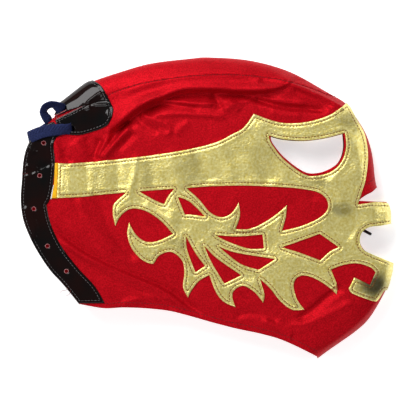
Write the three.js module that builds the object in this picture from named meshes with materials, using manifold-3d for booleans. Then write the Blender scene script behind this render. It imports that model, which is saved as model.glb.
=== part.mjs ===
// A laced wrestling mask, lying flat on its left cheek: a two-layer hood of stretch satin with a
// vinyl applique on each cheek, black eyelet facings down the open back and a flat lace.
//
// Millimetres. +X is the way the face looks, +Y is the crown and +Z is the wearer's right side.
// The origin is under the middle of the hood, on the surface that it lies on.

import * as THREE from 'three';
import { mergeVertices } from 'three/addons/utils/BufferGeometryUtils.js';
import Module from 'manifold-3d';

const wasm = await Module();
wasm.setup();

// ---------------------------------------------------------------- driving dimensions

// The fabric stack, outwards from the inside of the hood.
const GAP = 0.3;
const LINING = { inner: 0, outer: 0.6 };
const PANEL = { inner: LINING.outer + GAP, outer: LINING.outer + GAP + 0.8 };
const VINYL = { inner: PANEL.outer + GAP, outer: PANEL.outer + GAP + 0.8 };

// The hood's side profile: a rounded edge, then two flat walls.
const EDGE_DEPTH = 14;
const EDGE_ANGLES = [60, 30, 0];
const WALL_RINGS = [1 / 3, 2 / 3, 1];
const RIM_STEPS = 48;
const CURVE_STEPS = 2;
const LOWER_RISE = 6;
const UPPER_RISE = 11;
const UPPER_SLOPE = 5 / 150;
const RIM_Z = VINYL.outer + LOWER_RISE;
const CENTRE = new THREE.Vector2(-5, -5);

// The fold line of the two back flaps, on plan, and how the hood springs up behind it.
const FOLD_TOP = new THREE.Vector2(-146.5, 41);
const FOLD_FOOT = new THREE.Vector2(-80, -77);
const FOLD_GAP = 0.5;
const LIFT_REACH = 50;
const LIFT_SLOPE = Math.tan(THREE.MathUtils.degToRad(13));

const EYELET_RADIUS = 2;
const LACE_HOLE_RADIUS = 3;
const LACE_RADIUS = 2;
const AGLET_RADIUS = 1.3;
const AGLET_LENGTH = 21.8;

const HANK = { length: 146, width: 36, height: 6, x: -15, y: 79, z: 4 };

// ---------------------------------------------------------------- outlines, on plan

// The widest outline of the satin. Behind and below it runs past the cut edges.
const RIM = [
  [-120, 82], [-99, 98], [-92, 101], [-74.5, 107], [-46.5, 115], [-14.5, 119], [1.5, 120],
  [33.5, 117.5], [65.5, 108.5], [97.5, 91], [110.5, 83], [119, 71.5], [126.5, 59], [131, 45.5],
  [133, 33], [134, 23], [136, 15], [141.5, 7], [145.5, -2], [146, -13], [147, -29], [148, -45],
  [146, -57], [142.5, -67], [131, -87], [120, -98.5], [97.5, -114.5], [85, -123], [69.5, -128],
  [33.5, -127], [-6.5, -116], [-46.5, -108], [-86.5, -106.5], [-118.5, -97], [-138.5, -76],
  [-157, -50.5], [-165, -22.5], [-166.5, 5.5], [-165, 33.5], [-158.5, 52], [-144, 68], [-131, 76.5],
];

const BACK_EDGE = [
  [-115, -61.5], [-125.5, -50], [-135.5, -35], [-142.5, -21.5], [-147, -9], [-148.8, 5.5],
  [-148, 21.5], [-147, 36], [-145, 45.5], [-141.5, 54],
];
const HEM = [
  [73.5, -112.5], [57.5, -105.5], [41.5, -101], [22.5, -97], [3, -92], [-14.5, -87],
  [-30.5, -83], [-46.5, -81], [-66.5, -80], [-83, -80.5], [-102.5, -77],
];
const SLIT = [[-131, 64.5], [-121, 70], [-109, 76], [-99, 81]];
const CROWN_SEAM = [
  [-81, 88], [-76, 91], [-62.5, 96], [-50.5, 99], [-29, 102.5], [-5, 105], [28, 105],
  [57.5, 101.5], [81.5, 95], [98, 89], [104, 89.5],
];

// The slit gapes a little, and the far edge stands back from the near one.
const SLIT_GAPE = [
  [-98.5, 81.2], [-109.5, 77.9], [-122.5, 73.6], [-135, 70.5], [-131, 64.5], [-121, 70], [-109, 76],
];

const EYE_HOLE = [
  [[50, 56.5]],
  [[60, 54], [77, 53], [93.5, 55], [108, 58.5]],
  [[108.5, 47], [105, 36.5], [97.5, 30.5], [86.5, 27], [76, 28.5], [61, 39.5], [51.5, 51], [50, 56.5]],
];
const NOSE_NOTCH = [
  [[120, 5]],
  [[123, 7.5], [127, 10], [131, 12], [134, 14.5], [136.5, 16.5]],
  [[180, 19]],
  [[180, 3.8]],
  [[140, 4.2], [120, 5]],
];
const MOUTH_NOTCH = [
  [[180, -13.5]],
  [[146, -13.5]],
  [[137.5, -15], [129, -16], [123, -20], [121, -26.5], [123.5, -33], [130.5, -38], [149, -45]],
  [[180, -57]],
];
const STRAP_TIP = [[[140.5, 8]], [[165, 8]], [[165, -17]], [[141, -17]]];

// The applique: the temple band, the eye surround, the lip strap, the mouth surround with the
// chin hook, the row of flame points under the cheek and the two horns behind it.
const APPLIQUE = [
  [[-119.5, 35]],
  [
    [-106.5, 35], [-73.5, 38], [-33.5, 43], [-5, 48.5], [9.5, 53], [19, 58], [28, 63], [36.5, 74.5],
  ],
  [[45.5, 71], [57.5, 67.5], [70.5, 67], [84, 69], [96, 73], [105, 78.5], [111, 83.5]],
  [[113, 82.5]],
  [[119, 70.5], [125, 59], [127.5, 47], [127.5, 35], [125.5, 21], [123, 13], [119.5, 2]],
  [[126.5, 3], [134.5, 4], [146, 3]],
  [[155, 3]],
  [[155, -13.5]],
  [[146, -13.5]],
  [[137.5, -15], [129, -16], [123, -20], [121, -26.5], [123, -33], [130.5, -37.5], [149, -45]],
  [[154, -47]],
  [[150, -67]],
  [[143.5, -67]],
  [[141, -67], [137, -73], [134.5, -75.5]],
  [[128, -74], [115, -69], [112, -65]],
  [[116.5, -56]],
  [[129, -62]],
  [[133.5, -52]],
  [[129, -48], [118.5, -45], [107, -46.5], [98, -50]],
  [[102, -59.5], [103.3, -65.5], [102.5, -69.5]],
  [[93.5, -62], [82.5, -56], [73.5, -55], [68.5, -61], [70.5, -72.5], [77, -82]],
  [[67, -82], [57.5, -75], [49.5, -65], [41.5, -57.5]],
  [[45, -69.5], [44, -76.5]],
  [[37, -68], [28, -63], [21, -66.5], [19.5, -72], [22, -80]],
  [[13, -76], [6.5, -68.5], [1, -54.5]],
  [[-7, -59], [-13, -66.5], [-16, -72.5]],
  [[-20, -64], [-19, -52], [-21, -42.5], [-29.5, -36], [-38.5, -38.5], [-42.5, -44]],
  [[-45, -45.5], [-53, -42], [-61, -33], [-64.5, -21.5], [-63, -12.5]],
  [[-57.5, -22], [-49.5, -27.5], [-40, -27], [-28, -21.5]],
  [[-38.5, -10.5], [-50.5, -3], [-61.5, -1.5], [-69.5, -7], [-74, -15]],
  [[-76, -6], [-75, 2.5], [-65.5, 11.5]],
  [[-82.5, 10], [-101, 8], [-120.5, 7]],
];
const APPLIQUE_EYE = [
  [[48.5, 57]],
  [[60, 54], [77, 53], [93.5, 55], [109, 59]],
  [[110, 48], [106.5, 36.5], [98.5, 28.5], [86.5, 25], [76, 26.5], [60, 38.5], [50.5, 51], [48.5, 57]],
];
const APPLIQUE_WINDOWS = [
  // Between the upper horn and the temple band.
  [[[-55, 12.5]], [[-27, 14.5]], [[-32, 8.5], [-35, 2.5]], [[-41.5, 5], [-55, 12.5]]],
  // The cheek, under the temple band.
  [
    [[-17, 15]],
    [
      [1.5, 16.5], [25.5, 17], [45.5, 16.5], [69.5, 15], [86.5, 12], [94.5, 6], [95, -2], [88, -9],
      [74.5, -15], [59, -19],
    ],
    [[62, -8.5], [63, 1.5]],
    [[53.5, -6.5], [41.5, -14], [32, -17.5], [22, -17.5]],
    [[25.5, -7], [24.5, 3.5]],
    [[18.5, -5], [10.5, -8], [1.5, -4], [-7, 6], [-17, 15]],
  ],
  // The fan of slots behind the mouth.
  [[[-24, 8]], [[-14.5, 4], [-2.5, -7.5]], [[-13, -6], [-18.5, -6]], [[-24, 8]]],
  [[[-17.5, -23.5]], [[-10, -37], [-2.5, -47]], [[-10, -52]], [[-16.5, -34.5], [-17.5, -23.5]]],
  [[[-3, -31]], [[7, -41], [26.5, -54.5]], [[13, -61]], [[2.5, -43.5], [-3, -31]]],
  [[[6, -22.5]], [[24, -23.5], [43.5, -22]], [[44.5, -33]], [[32, -33], [16, -27.5], [6, -22.5]]],
  [[[8.5, -31.5]], [[22.5, -36.5], [53.5, -41.5]], [[40.5, -50]], [[25.5, -45], [8.5, -31.5]]],
  // The diamond beside the mouth.
  [
    [[59, -32]], [[71, -28], [89, -21.5]], [[104, -32]], [[97, -35.5], [89.5, -42.5]],
    [[73.5, -36.5], [59, -32]],
  ],
];

const BAND_END = [[[-121.6, 35]], [[-120, 35]], [[-121, 7]], [[-125, 7]], [[-123.1, 17.5]]];
const FACING = [
  [[-123, 68]],
  [[-116, 57.8]],
  [[-121, 55.5]],
  [[-123, 51], [-123, 45.5], [-122, 35], [-123.5, 17.5], [-125.5, 7], [-128.5, 1.5]],
  [[-126, -10.5], [-121, -23], [-114, -35], [-102, -50], [-90, -63], [-82, -76.5]],
  [[-125, -76.8]],
  [[-165, -40]],
  [[-165, 60]],
];
const PATCH = [
  [[-122, 68.8]],
  [[-113.5, 58]],
  [[-103, 57.5], [-94.5, 59.5], [-85.5, 62.5], [-80, 65.5]],
  [[-77, 71], [-75.5, 78.5]],
  [[-78.5, 85], [-82.5, 92.5], [-86, 97.5], [-92, 101.5]],
  [[-95, 112]],
  [[-132, 96]],
  [[-125.5, 76]],
];
const PATCH_UNDERSIDE = [
  [[-118, 74]], [[-108, 83], [-98, 90.5]], [[-92, 101.5]], [[-95, 112]], [[-132, 96]], [[-125.5, 76]],
];

const EYELETS = [[-131, 51], [-134, 25], [-138.5, -1.5], [-127.5, -31], [-112.5, -51]];
const NEAR_LACE_HOLE = [-109.5, 62.5];
const FAR_LACE_HOLE = [-116, 77.5];

// The lace's centre line: out of the hank, up through the far hole, round the loop, in at the
// slit, round the near free edge, down through the near hole and forward to the mouth.
const LACE_ROUTE = [
  [-88.5, 76, 7], [-96, 76.5, 7.6], [-104, 77, 8.5], [-110.5, 77.2, 9.6], [-114.8, 77.3, 12.5],
  [-116, 77.5, 17], [-117.5, 79.3, 21.5], [-121.5, 82.2, 23.2], [-126.5, 82.6, 22.6],
  [-131, 79.3, 21], [-132.6, 73.5, 18.5], [-131, 68, 16], [-130.5, 63, 15.5], [-133.5, 59.2, 17],
  [-138.8, 58.6, 18.6], [-144, 58.6, 22.2], [-145.6, 58.6, 26.8], [-142.6, 57.6, 30.6],
  [-136.5, 57.4, 30.6], [-130, 58.5, 28.2], [-122, 60.3, 26], [-115, 61.7, 25.2],
  [-110.8, 62.4, 23.4], [-109.4, 62.5, 19.3], [-108.5, 62, 14.5], [-105.3, 60.5, 10],
  [-99, 57, 6.8], [-88, 51, 5.3], [-72, 41, 5.3], [-52, 27, 5.3], [-28, 15, 5.3], [0, 9, 5.3],
  [28, 8, 5.3], [55, 6, 5.3], [78, 2, 5.3], [96, -4, 5.3], [110.7, -11, 5.3],
];
const LACE_STEPS = 80;
const FRONT_AGLET = { start: [111, -11.2, 5.3], towards: [130.2, -21.6, 5.3] };
const REAR_AGLET = { start: [58.4, 84, 5], towards: [80, 84, 5] };

// ---------------------------------------------------------------- geometry helpers

// A closed outline. Each stretch ends at a corner: one point makes a straight edge, and more
// points make a smooth curve through all of them.
function outline(stretches) {
  const points = [new THREE.Vector2(...stretches[0][0])];
  for (const stretch of stretches.slice(1)) {
    const stops = [points.at(-1), ...stretch.map(([x, y]) => new THREE.Vector2(x, y))];
    const steps = stretch.length === 1 ? 1 : CURVE_STEPS * stretch.length;
    points.push(...new THREE.SplineCurve(stops).getPoints(steps).slice(1));
  }
  if (points.at(-1).distanceTo(points[0]) < 0.01) points.pop();
  return new THREE.Shape(points);
}

function polygon(points) {
  return new THREE.Shape(points.map(([x, y]) => new THREE.Vector2(x, y)));
}

function solid(geometry) {
  geometry.deleteAttribute('normal');
  geometry.deleteAttribute('uv');
  const merged = mergeVertices(geometry, 1e-4);
  return new wasm.Manifold(new wasm.Mesh({
    numProp: 3,
    vertProperties: new Float32Array(merged.attributes.position.array),
    triVerts: new Uint32Array(merged.index.array),
  }));
}

function prism(shape, bottom = -50, top = 90) {
  const options = { depth: top - bottom, bevelEnabled: false };
  return solid(new THREE.ExtrudeGeometry(shape, options).translate(0, 0, bottom));
}

function drill([x, y], radius, bottom = -50, top = 90) {
  const cylinder = new THREE.CylinderGeometry(radius, radius, top - bottom, 12);
  return solid(cylinder.rotateX(Math.PI / 2).translate(x, y, (top + bottom) / 2));
}

const foldAlong = FOLD_FOOT.clone().sub(FOLD_TOP).normalize();
const foldOut = new THREE.Vector2(foldAlong.y, -foldAlong.x);

// How far a point on plan lies behind the fold line.
function behindFold(x, y) {
  return (x - FOLD_TOP.x) * foldOut.x + (y - FOLD_TOP.y) * foldOut.y;
}

function lift(x, y) {
  return Math.max(0, behindFold(x, y) + LIFT_REACH) * LIFT_SLOPE;
}

// A long prism parallel to the fold line. Its section is given as [behind the fold, height].
function foldPrism(section) {
  const reach = 400;
  const options = { depth: 2 * reach, bevelEnabled: false };
  const geometry = new THREE.ExtrudeGeometry(polygon(section), options).translate(0, 0, -reach);
  const along = new THREE.Vector3(-foldAlong.x, -foldAlong.y, 0);
  const out = new THREE.Vector3(foldOut.x, foldOut.y, 0);
  const frame = new THREE.Matrix4().makeBasis(out, new THREE.Vector3(0, 0, 1), along);
  frame.setPosition(FOLD_TOP.x, FOLD_TOP.y, 0);
  return solid(geometry.applyMatrix4(frame));
}

const rimCurve = new THREE.CatmullRomCurve3(
  RIM.map(([x, y]) => new THREE.Vector3(x, y, 0)), true, 'centripetal',
);

// One point of the hood's surface, pushed outwards by offset. The angle runs over the rounded
// edge from 0 at the rim to 90 at the wall, and ring runs over the wall from 0 to 1.
function hoodPoint(u, angle, ring, isUpper, offset) {
  const tangent = rimCurve.getTangentAt(u);
  const outward = new THREE.Vector2(-tangent.y, tangent.x);
  const edge = rimCurve.getPointAt(u);
  const rim = new THREE.Vector2(edge.x, edge.y).addScaledVector(outward, -PANEL.outer);
  const inward = new THREE.Vector2(CENTRE.x - rim.x, CENTRE.y - rim.y).normalize();
  const turn = THREE.MathUtils.degToRad(angle);
  const depth = EDGE_DEPTH * (1 - Math.cos(turn));
  const step = depth / Math.max(0.5, -inward.dot(outward));
  const x = THREE.MathUtils.lerp(CENTRE.x, rim.x + inward.x * step, ring);
  const y = THREE.MathUtils.lerp(CENTRE.y, rim.y + inward.y * step, ring);
  const rise = isUpper ? UPPER_RISE + UPPER_SLOPE * x : LOWER_RISE;
  const side = isUpper ? 1 : -1;
  const push = new THREE.Vector2(rise * Math.cos(turn), EDGE_DEPTH * Math.sin(turn)).normalize();
  return new THREE.Vector3(
    x + outward.x * push.x * offset,
    y + outward.y * push.x * offset,
    RIM_Z + side * (rise * Math.sin(turn) + push.y * offset) + lift(x, y),
  );
}

// The whole hood as one closed solid, with its surface pushed outwards by offset.
function hoodSolid(offset) {
  const walls = WALL_RINGS.map((ring) => [90, ring]);
  const edge = EDGE_ANGLES.map((angle) => [angle, 1]);
  const upper = [...walls, ...edge].map(([angle, ring]) => [angle, ring, true]);
  const lower = [...walls, ...edge.slice(0, -1)].reverse().map(([angle, ring]) => [angle, ring, false]);
  const rings = [...upper, ...lower];
  const points = [hoodPoint(0, 90, 0, true, offset), hoodPoint(0, 90, 0, false, offset)];
  for (const [angle, ring, isUpper] of rings) {
    for (let i = 0; i < RIM_STEPS; i += 1) {
      points.push(hoodPoint(i / RIM_STEPS, angle, ring, isUpper, offset));
    }
  }
  const at = (row, i) => 2 + row * RIM_STEPS + (i % RIM_STEPS);
  const last = rings.length - 1;
  const index = [];
  for (let i = 0; i < RIM_STEPS; i += 1) {
    index.push(0, at(0, i + 1), at(0, i));
    index.push(1, at(last, i), at(last, i + 1));
    for (let row = 0; row < last; row += 1) {
      index.push(at(row, i), at(row, i + 1), at(row + 1, i));
      index.push(at(row, i + 1), at(row + 1, i + 1), at(row + 1, i));
    }
  }
  const geometry = new THREE.BufferGeometry().setFromPoints(points);
  geometry.setIndex(index);
  return solid(geometry);
}

function layer({ inner, outer }) {
  return hoodSolid(outer).subtract(hoodSolid(inner));
}

// ---------------------------------------------------------------- cutting regions

// Everything that the hood is cut from: its hem, its back edge and its openings.
const cloth = prism(polygon([
  [87.5, -119.8], ...HEM, ...BACK_EDGE, [-131, 64.7], [-127, 71], [-129, 78],
  [-128, 100], [-100, 130], [180, 130], [180, -150], [92, -150],
]));
const openings = [EYE_HOLE, NOSE_NOTCH, MOUTH_NOTCH]
  .map((stretches) => prism(outline(stretches)))
  .reduce((all, opening) => all.add(opening))
  .add(EYELETS.map((place) => drill(place, EYELET_RADIUS)).reduce((all, hole) => all.add(hole)));
const cutCloth = cloth.subtract(openings);

// The space of the right half: above the middle surface and in front of the crown seam. The
// left half is what the same space, grown by the gap, leaves.
function rightSpace(growth) {
  const middle = RIM_Z - growth;
  const rise = 150;
  const above = foldPrism([
    [-400, middle], [-LIFT_REACH, middle], [rise - LIFT_REACH, middle + rise * LIFT_SLOPE],
    [rise - LIFT_REACH, 200], [-400, 200],
  ]);
  const inFront = prism(polygon([
    [-180, 54], [-141.5, 54], ...SLIT, ...CROWN_SEAM, [180, 110], [180, -150], [-180, -150],
  ])).translate([-growth / 2, growth, 0]);
  const tip = prism(outline(STRAP_TIP)).translate([growth, 0, 0]);
  return above.intersect(inFront).subtract(tip);
}

const rightHalf = rightSpace(0);
const allButRight = rightSpace(GAP);
const slitGape = prism(polygon(SLIT_GAPE));
const upperLaceHoles = [NEAR_LACE_HOLE, FAR_LACE_HOLE]
  .map((place) => drill(place, LACE_HOLE_RADIUS, RIM_Z + 2))
  .reduce((all, hole) => all.add(hole));

function rightPart(body) {
  return body.intersect(rightHalf).subtract(upperLaceHoles);
}

function leftPart(body) {
  return body.subtract(allButRight).subtract(slitGape).subtract(upperLaceHoles);
}

const behind = foldPrism([[FOLD_GAP, -100], [200, -100], [200, 300], [FOLD_GAP, 300]]);
const ahead = foldPrism([[-400, -100], [-FOLD_GAP, -100], [-FOLD_GAP, 300], [-400, 300]]);

// ---------------------------------------------------------------- pieces

const group = new THREE.Group();

function addMesh(name, geometry, material) {
  const mesh = new THREE.Mesh(geometry, material);
  mesh.name = name;
  group.add(mesh);
}

function addBody(name, body, material) {
  const { vertProperties, triVerts } = body.getMesh();
  const geometry = new THREE.BufferGeometry();
  geometry.setAttribute('position', new THREE.BufferAttribute(vertProperties, 3));
  geometry.setIndex(new THREE.BufferAttribute(triVerts, 1));
  addMesh(name, geometry.toNonIndexed(), material);
  geometry.dispose();
}

function finish(color, roughness, metalness = 0) {
  return new THREE.MeshStandardMaterial({ color, roughness, metalness });
}

const satin = finish(0xb3111d, 0.45);
const knit = finish(0x8c0f18, 0.85);
const goldVinyl = finish(0xd2c27a, 0.35, 0.6);
const yellowVinyl = finish(0xdc9a05, 0.5);
const patent = finish(0x0b0908, 0.12);
const laceCotton = finish(0x161c3c, 0.85);
const aglet = finish(0x050506, 0.25);

function addCloth(name, body, material) {
  const right = rightPart(body);
  const left = leftPart(body);
  addBody(`right_side_${name}`, right.intersect(ahead), material);
  addBody(`left_side_${name}`, left.intersect(ahead), material);
  addBody(`right_back_${name}`, right.intersect(behind), material);
  addBody(`left_back_${name}`, left.intersect(behind), material);
}

addCloth('panel', layer(PANEL).intersect(cutCloth), satin);
addCloth('lining', layer(LINING).intersect(cutCloth), knit);

const vinyl = layer(VINYL);
const windows = [APPLIQUE_EYE, ...APPLIQUE_WINDOWS].map((stretches) => prism(outline(stretches)));
const applique = windows.reduce(
  (sheet, window) => sheet.subtract(window),
  vinyl.intersect(prism(outline(APPLIQUE))),
);
addBody('right_gold_applique', rightPart(applique), goldVinyl);
addBody('left_gold_applique', leftPart(applique), goldVinyl);

const bandEnd = vinyl.intersect(prism(outline(BAND_END)));
addBody('right_band_end_strip', rightPart(bandEnd), yellowVinyl);
addBody('left_band_end_strip', leftPart(bandEnd), yellowVinyl);

const facing = vinyl.intersect(prism(outline(FACING))).intersect(cutCloth);
addBody('right_upper_eyelet_facing', rightPart(facing).intersect(ahead), patent);
addBody('left_upper_eyelet_facing', leftPart(facing).intersect(ahead), patent);
addBody('right_lower_eyelet_facing', rightPart(facing).intersect(behind), patent);
addBody('left_lower_eyelet_facing', leftPart(facing).intersect(behind), patent);

const patchAbove = prism(outline(PATCH), RIM_Z, 90).add(prism(outline(PATCH_UNDERSIDE), -50, 90));
const patchBody = vinyl.intersect(patchAbove).intersect(cloth);
addBody('slit_end_patch', patchBody.subtract(slitGape).subtract(upperLaceHoles), patent);

function circle(radius, sides) {
  const corners = Array.from({ length: sides }, (_, i) => {
    const turn = (i / sides) * 2 * Math.PI;
    return [radius * Math.cos(turn), radius * Math.sin(turn)];
  });
  return polygon(corners);
}

function addLace() {
  const path = new THREE.CatmullRomCurve3(LACE_ROUTE.map((point) => new THREE.Vector3(...point)));
  const options = { steps: LACE_STEPS, extrudePath: path, bevelEnabled: false };
  addMesh('lace_run', new THREE.ExtrudeGeometry(circle(LACE_RADIUS, 8), options), laceCotton);
}
addLace();

function addHank({ length, width, height, x, y, z }) {
  const half = (length - width) / 2;
  const shape = new THREE.Shape();
  shape.absarc(half, 0, width / 2, -Math.PI / 2, Math.PI / 2);
  shape.absarc(-half, 0, width / 2, Math.PI / 2, (3 * Math.PI) / 2);
  const options = { depth: height, bevelEnabled: false, curveSegments: 8 };
  addMesh('lace_hank', new THREE.ExtrudeGeometry(shape, options).translate(x, y, z), laceCotton);
}
addHank(HANK);

function addAglet(name, { start, towards }) {
  const from = new THREE.Vector3(...start);
  const direction = new THREE.Vector3(...towards).sub(from).normalize();
  const geometry = new THREE.CylinderGeometry(AGLET_RADIUS, AGLET_RADIUS, AGLET_LENGTH, 12);
  geometry.applyQuaternion(
    new THREE.Quaternion().setFromUnitVectors(new THREE.Vector3(0, 1, 0), direction),
  );
  const middle = from.addScaledVector(direction, AGLET_LENGTH / 2);
  addMesh(name, geometry.translate(middle.x, middle.y, middle.z), aglet);
}
addAglet('front_aglet', FRONT_AGLET);
addAglet('rear_aglet', REAR_AGLET);

export default group;
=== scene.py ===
"""A laced wrestling mask, lying flat on its left cheek and seen from straight above.

Lengths inside this file are millimetres on the frame's own axes, and become metres as each mesh
is made. +X is the way the face looks, +Y is the crown and +Z is the wearer's right side.
"""
import math

import bpy
import numpy as np
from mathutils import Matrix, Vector, kdtree, noise
from mathutils.geometry import delaunay_2d_cdt


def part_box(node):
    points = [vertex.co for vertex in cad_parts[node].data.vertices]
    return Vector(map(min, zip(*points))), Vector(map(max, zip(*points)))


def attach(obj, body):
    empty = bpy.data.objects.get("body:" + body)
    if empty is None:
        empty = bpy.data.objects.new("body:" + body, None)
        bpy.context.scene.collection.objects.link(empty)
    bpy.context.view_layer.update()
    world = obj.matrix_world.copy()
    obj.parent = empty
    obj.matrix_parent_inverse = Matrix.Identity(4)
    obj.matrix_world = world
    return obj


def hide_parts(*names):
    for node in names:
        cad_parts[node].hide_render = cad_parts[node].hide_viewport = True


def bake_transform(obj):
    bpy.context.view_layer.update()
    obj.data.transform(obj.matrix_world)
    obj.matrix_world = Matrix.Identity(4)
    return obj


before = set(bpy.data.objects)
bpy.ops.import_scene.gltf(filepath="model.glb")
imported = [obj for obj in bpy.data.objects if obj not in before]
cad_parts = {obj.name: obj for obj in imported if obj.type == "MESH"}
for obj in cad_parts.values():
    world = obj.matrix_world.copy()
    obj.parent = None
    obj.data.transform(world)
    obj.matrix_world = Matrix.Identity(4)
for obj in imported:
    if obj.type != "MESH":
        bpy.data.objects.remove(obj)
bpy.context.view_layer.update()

MM = 0.001

# ---- driving dimensions

# The fabric stack, outwards from the inside of the hood: where each layer starts and ends.
LINING = (0.0, 0.7)
PANEL = (0.8, 1.7)
VINYL = (1.8, 2.7)

EDGE_DEPTH = 14
LOWER_RISE = 6
UPPER_RISE = 11
UPPER_SLOPE = 1 / 30
RIM_Z = 8.8

FOLD_TOP = np.array([-146.5, 41])
FOLD_FOOT = np.array([-80, -77])
LIFT_REACH = 50
LIFT_SLOPE = math.tan(math.radians(13))
LIFT_SOFTNESS = 12

# The lining's valleys are this many times as deep as the satin's, and at least this wide.
LINING_SAG, LINING_BEND = 1.2, 3

# The middle of the gold's spots of painted shade is this high above the table, and they reach this far.
SHADE_SPOT_LEVEL, SHADE_SPOT_HEIGHT = 18, 60

# Extra rows of points at these distances inside the rim, where the skin rounds off.
RIM_RINGS = (0.25, 0.8, 1.8, 3.1)
SEAM_DEPTH = 0.18

# A row of stitches: how far it runs inside the edge, its pitch and the stitch's length.
GOLD_INSET, GOLD_STITCH = 2.4, (2.5, 1.9)
PATENT_INSET, PATENT_STITCH = 2.2, (2.6, 1.9)
RED_STITCH = (2.3, 1.5)
NOSE_STITCH = (2.0, 1.4)
HEM_INSET = 4

LACE_HOLE_RADIUS = 3
LACE_WIDTH = 9.5
LACE_THICKNESS = 1.2
RIBBON_COLUMNS = 13
RIB_HEIGHT, RIB_PITCH, RIB_SLANT = 0.26, 2.6, 4.0
AGLET_RADIUS, AGLET_LENGTH, CRIMPS = 1.25, 21.8, 5
# The thread round the wound lace: the middle and the half size of its loop, across and up.
TIE_MIDDLE, TIE_REACH, TIE_RADIUS = (79, 7.2), (17.5, 2.9), 0.5

# These are in metres, apart from the view's width and the camera's level.
CAMERA_DISTANCE = 2.5
VIEW_WIDTH = 332.8
CAMERA_LEVEL = 16
LAMP_DISTANCE = 1.1
TABLE_REACH, TABLE_LEVEL = 3, -0.0003

# ---- outlines, on plan

RIM = [
    (-120, 82), (-99, 98), (-92, 101), (-74.5, 107), (-46.5, 115), (-14.5, 119), (1.5, 120),
    (33.5, 117.5), (65.5, 108.5), (97.5, 91), (110.5, 83), (119, 71.5), (126.5, 59), (131, 45.5),
    (133, 33), (134, 23), (136, 15), (141.5, 7), (145.5, -2), (146, -13), (147, -29), (148, -45),
    (146, -57), (142.5, -67), (131, -87), (120, -98.5), (97.5, -114.5), (85, -123), (69.5, -128),
    (33.5, -127), (-6.5, -116), (-46.5, -108), (-86.5, -106.5), (-118.5, -97), (-138.5, -76),
    (-157, -50.5), (-165, -22.5), (-166.5, 5.5), (-165, 33.5), (-158.5, 52), (-144, 68), (-131, 76.5),
]
BACK_EDGE = [
    (-102.5, -77), (-115, -61.5), (-125.5, -50), (-135.5, -35), (-142.5, -21.5), (-147, -9),
    (-148.8, 5.5), (-148, 21.5), (-147, 36), (-145, 45.5), (-141.5, 54),
]
HEM = [
    (87.5, -119.8), (73.5, -112.5), (57.5, -105.5), (41.5, -101), (22.5, -97), (3, -92),
    (-14.5, -87), (-30.5, -83), (-46.5, -81), (-66.5, -80), (-83, -80.5), (-102.5, -77),
]
SLIT = [(-131, 64.5), (-121, 70), (-109, 76), (-99, 81)]
SLIT_GAPE = [
    (-98.5, 81.2), (-109.5, 77.9), (-122.5, 73.6), (-135, 70.5), (-131, 64.5), (-121, 70), (-109, 76),
]
CROWN_SEAM = [
    (-81, 88), (-76, 91), (-62.5, 96), (-50.5, 99), (-29, 102.5), (-5, 105), (28, 105),
    (57.5, 101.5), (81.5, 95), (98, 89), (104, 89.5),
]
EYE_HOLE = [
    [(50, 56.5)],
    [(60, 54), (77, 53), (93.5, 55), (108, 58.5)],
    [(108.5, 47), (105, 36.5), (97.5, 30.5), (86.5, 27), (76, 28.5), (61, 39.5), (51.5, 51), (50, 56.5)],
]
NOSE_NOTCH = [
    [(120, 5)],
    [(123, 7.5), (127, 10), (131, 12), (134, 14.5), (136.5, 16.5)],
    [(180, 19)], [(180, 3.8)], [(140, 4.2), (120, 5)],
]
MOUTH_NOTCH = [
    [(180, -13.5)], [(146, -13.5)],
    [(137.5, -15), (129, -16), (123, -20), (121, -26.5), (123.5, -33), (130.5, -38), (149, -45)],
    [(180, -57)],
]
STRAP_TIP = [(140.5, 8), (165, 8), (165, -17), (140.5, -17)]
APPLIQUE = [
    [(-119.5, 35)],
    [(-106.5, 35), (-73.5, 38), (-33.5, 43), (-5, 48.5), (9.5, 53), (19, 58), (28, 63), (36.5, 74.5)],
    [(45.5, 71), (57.5, 67.5), (70.5, 67), (84, 69), (96, 73), (105, 78.5), (111, 83.5)],
    [(113, 82.5)], [(119, 70.5), (125, 59), (127.5, 47), (127.5, 35), (125.5, 21), (123, 13), (119.5, 2)],
    [(126.5, 3), (134.5, 4), (146, 3)], [(155, 3)], [(155, -13.5)], [(146, -13.5)],
    [(137.5, -15), (129, -16), (123, -20), (121, -26.5), (123, -33), (130.5, -37.5), (149, -45)],
    [(154, -47)], [(150, -67)], [(143.5, -67)], [(141, -67), (137, -73), (134.5, -75.5)],
    [(128, -74), (115, -69), (112, -65)], [(116.5, -56)], [(129, -62)], [(133.5, -52)],
    [(129, -48), (118.5, -45), (107, -46.5), (98, -50)],
    [(102, -59.5), (103.3, -65.5), (102.5, -69.5)],
    [(93.5, -62), (82.5, -56), (73.5, -55), (68.5, -61), (70.5, -72.5), (77, -82)],
    [(67, -82), (57.5, -75), (49.5, -65), (41.5, -57.5)],
    [(45, -69.5), (44, -76.5)],
    [(37, -68), (28, -63), (21, -66.5), (19.5, -72), (22, -80)],
    [(13, -76), (6.5, -68.5), (1, -54.5)],
    [(-7, -59), (-13, -66.5), (-16, -72.5)],
    [(-20, -64), (-19, -52), (-21, -42.5), (-29.5, -36), (-38.5, -38.5), (-42.5, -44)],
    [(-45, -45.5), (-53, -42), (-61, -33), (-64.5, -21.5), (-63, -12.5)],
    [(-57.5, -22), (-49.5, -27.5), (-40, -27), (-28, -21.5)],
    [(-38.5, -10.5), (-50.5, -3), (-61.5, -1.5), (-69.5, -7), (-74, -15)],
    [(-76, -6), (-75, 2.5), (-65.5, 11.5)],
    [(-82.5, 10), (-101, 8), (-120.5, 7)],
]
APPLIQUE_EYE = [
    [(48.5, 57)],
    [(60, 54), (77, 53), (93.5, 55), (109, 59)],
    [(110, 48), (106.5, 36.5), (98.5, 28.5), (86.5, 25), (76, 26.5), (60, 38.5), (50.5, 51), (48.5, 57)],
]
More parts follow.
